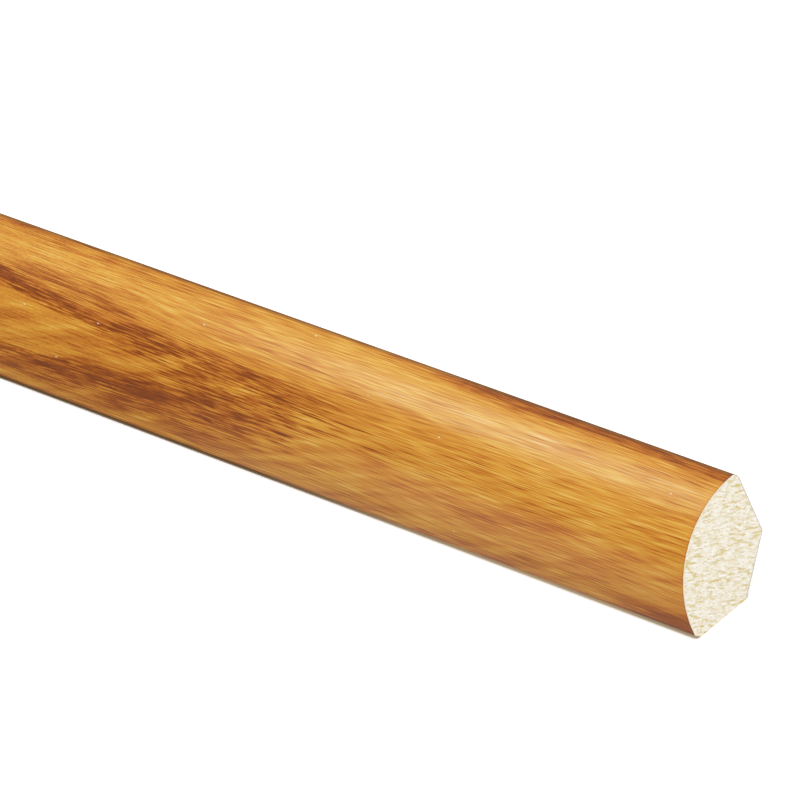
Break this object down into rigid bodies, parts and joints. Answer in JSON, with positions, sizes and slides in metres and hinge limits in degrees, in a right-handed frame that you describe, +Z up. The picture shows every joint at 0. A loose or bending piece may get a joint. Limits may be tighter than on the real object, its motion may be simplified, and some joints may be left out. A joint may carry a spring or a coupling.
{
  "type": "pvc quarter round moulding",
  "caption": "Straight stock length of foamed PVC quarter-round moulding with a printed honey-oak wood-grain film on its rounded face and bare sawn ends.",
  "frame": {"origin": "middle of the bounding box's underside, on the floor, halfway along the length", "axes": "+X along the length towards the sawn end that the picture shows, +Y out of the flat wall face, +Z up from the floor face"},
  "size_m": [2.3876, 0.0178, 0.0191],
  "materials": {
    "foam_core": "off-white foamed PVC, bare, with fine tan cells on the sawn ends",
    "wood_grain_film": "satin printed film, honey oak grain"
  },
  "bodies": {
    "root": {"foam_core": "foam_core", "wood_grain_film": "wood_grain_film"}
  },
  "joints": []
}
